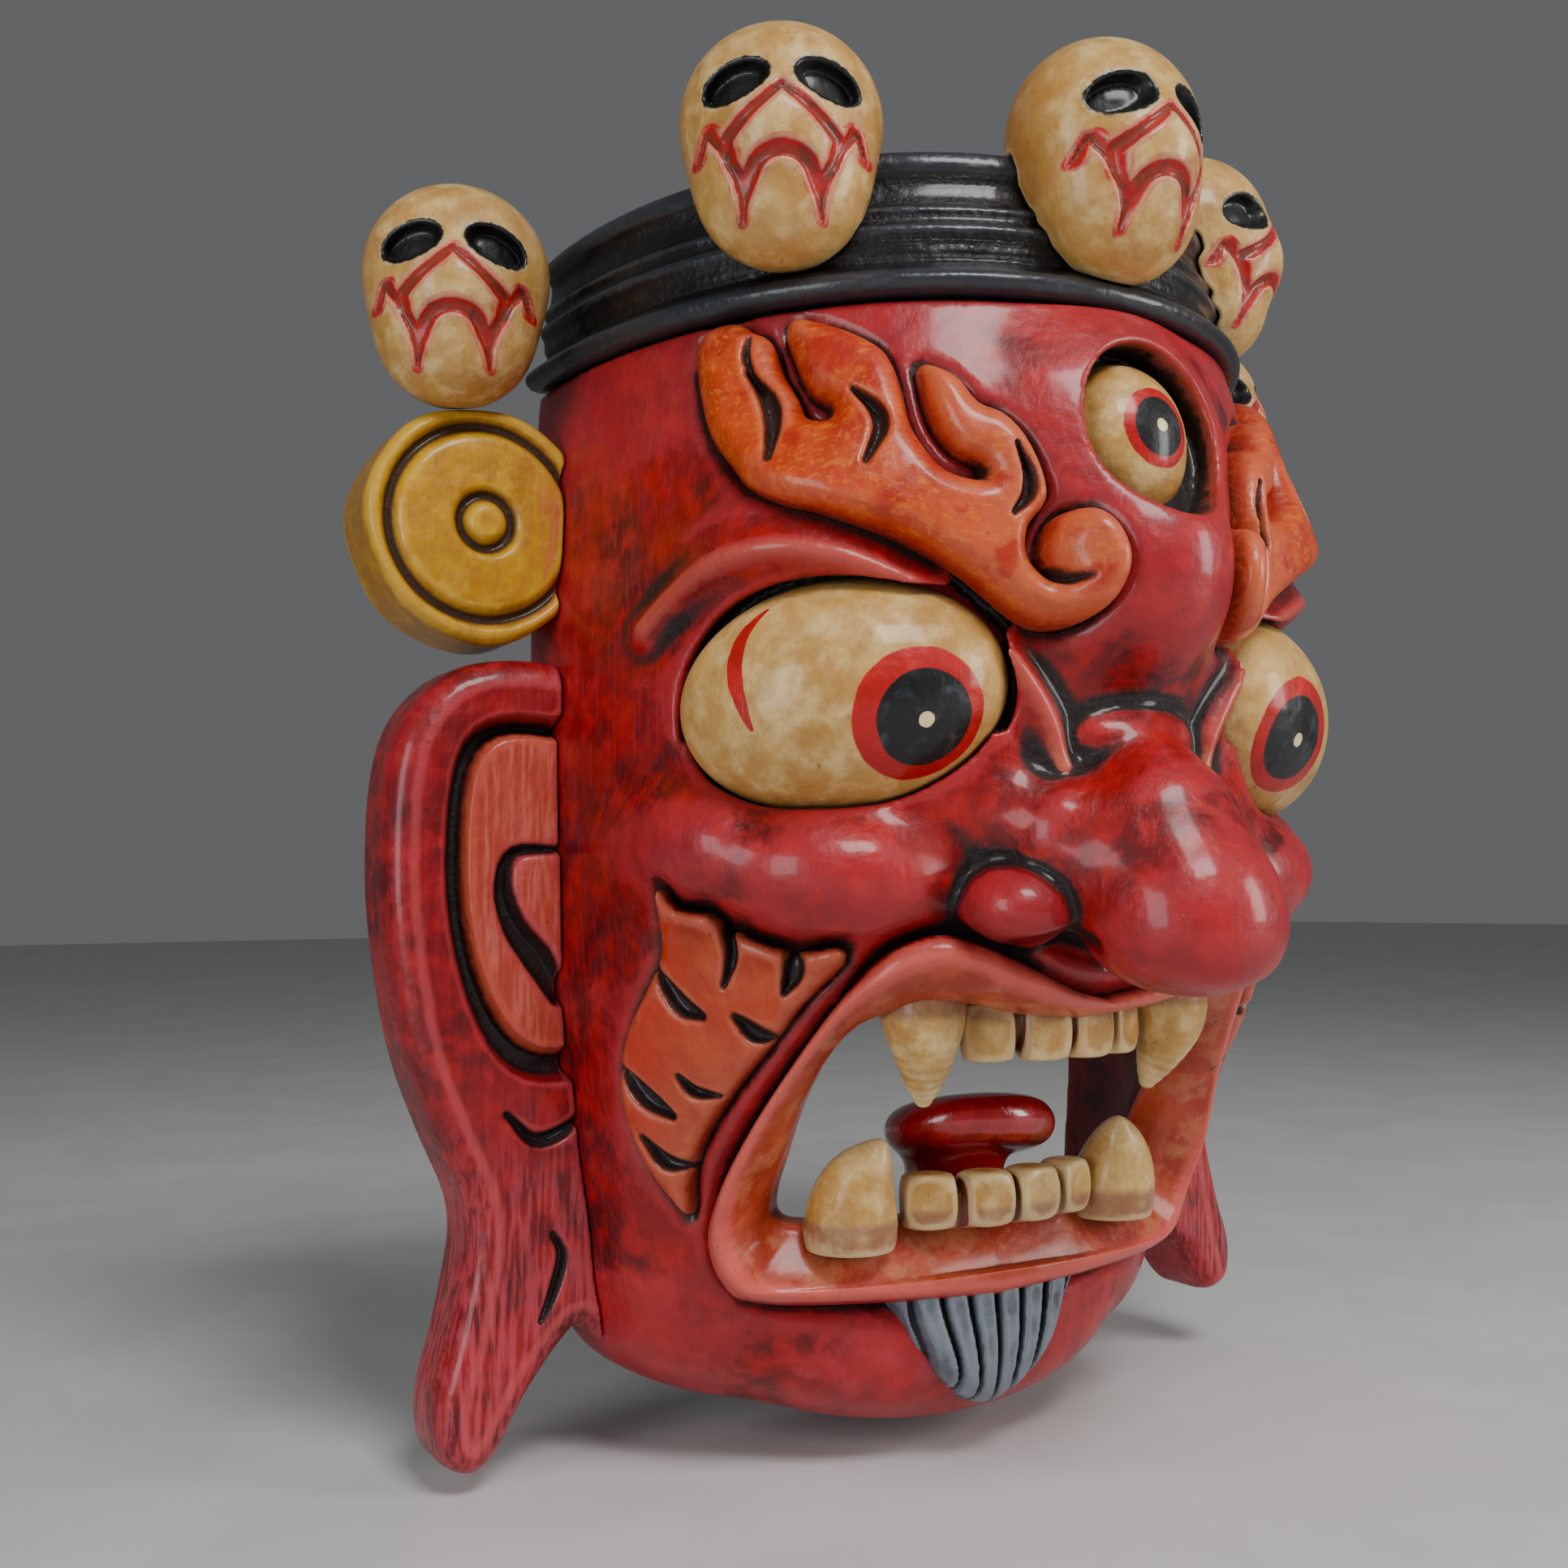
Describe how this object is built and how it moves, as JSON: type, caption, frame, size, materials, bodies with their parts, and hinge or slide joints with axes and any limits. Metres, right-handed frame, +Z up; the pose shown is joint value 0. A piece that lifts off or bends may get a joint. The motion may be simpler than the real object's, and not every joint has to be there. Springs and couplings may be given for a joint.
{
  "type": "carved wooden wall mask",
  "caption": "Carved and painted wooden wall mask of a fanged, three-eyed guardian with a crown of skulls, long ears and ear discs, on a swinging ring hanger.",
  "frame": {"origin": "where the wall hook bears: the hanger ring's pivot line, at the middle of the mask, on the plane of its flat back", "axes": "+Z up as the mask hangs, -Y the way the face looks, +Y into the wall, +X to the right of a person looking at the face"},
  "size_m": [0.2992, 0.164, 0.344],
  "materials": {
    "red_paint": "hand-brushed crimson enamel on carved wood, semi-gloss, dark antiquing wiped into the hollows",
    "black_paint": "glossy black enamel on carved wood",
    "bone_paint": "cream enamel with a brown antique wash, semi-gloss",
    "yellow_paint": "ochre yellow enamel with a brown wash",
    "ear_paint": "crimson enamel wearing to pink and orange inside the ear",
    "orange_paint": "orange enamel with dark carved grooves",
    "lip_paint": "pink and orange enamel",
    "tongue_paint": "bright red gloss enamel",
    "slate_paint": "blue-grey satin enamel over black",
    "steel": "zinc-plated pressed steel"
  },
  "bodies": {
    "mask": {"face_shell": "red_paint", "crown_block": "black_paint", "skull_far_left": "bone_paint", "skull_left": "bone_paint", "skull_centre": "bone_paint", "skull_right": "bone_paint", "skull_far_right": "bone_paint", "ear_disc_left": "yellow_paint", "ear_disc_right": "yellow_paint", "ear_left": "ear_paint", "ear_right": "ear_paint", "eye_left": "bone_paint", "eye_right": "bone_paint", "third_eye": "bone_paint", "eyebrow_left": "orange_paint", "eyebrow_right": "orange_paint", "whisker_left": "orange_paint", "whisker_right": "orange_paint", "lip_rim": "lip_paint", "upper_fang_left": "bone_paint", "upper_fang_right": "bone_paint", "lower_fang_left": "bone_paint", "lower_fang_right": "bone_paint", "upper_teeth": "bone_paint", "lower_teeth": "bone_paint", "tongue": "tongue_paint", "goatee": "slate_paint", "hanger_strap": "steel", "hanger_screw": "steel"},
    "ring": {"hanger_ring": "steel"}
  },
  "joints": [
    {"name": "ring_swing", "type": "hinge", "parent": "mask", "child": "ring", "pos_m": [0, -0.0032, 0], "axis": [1, 0, 0], "range_deg": [0, 180]}
  ]
}
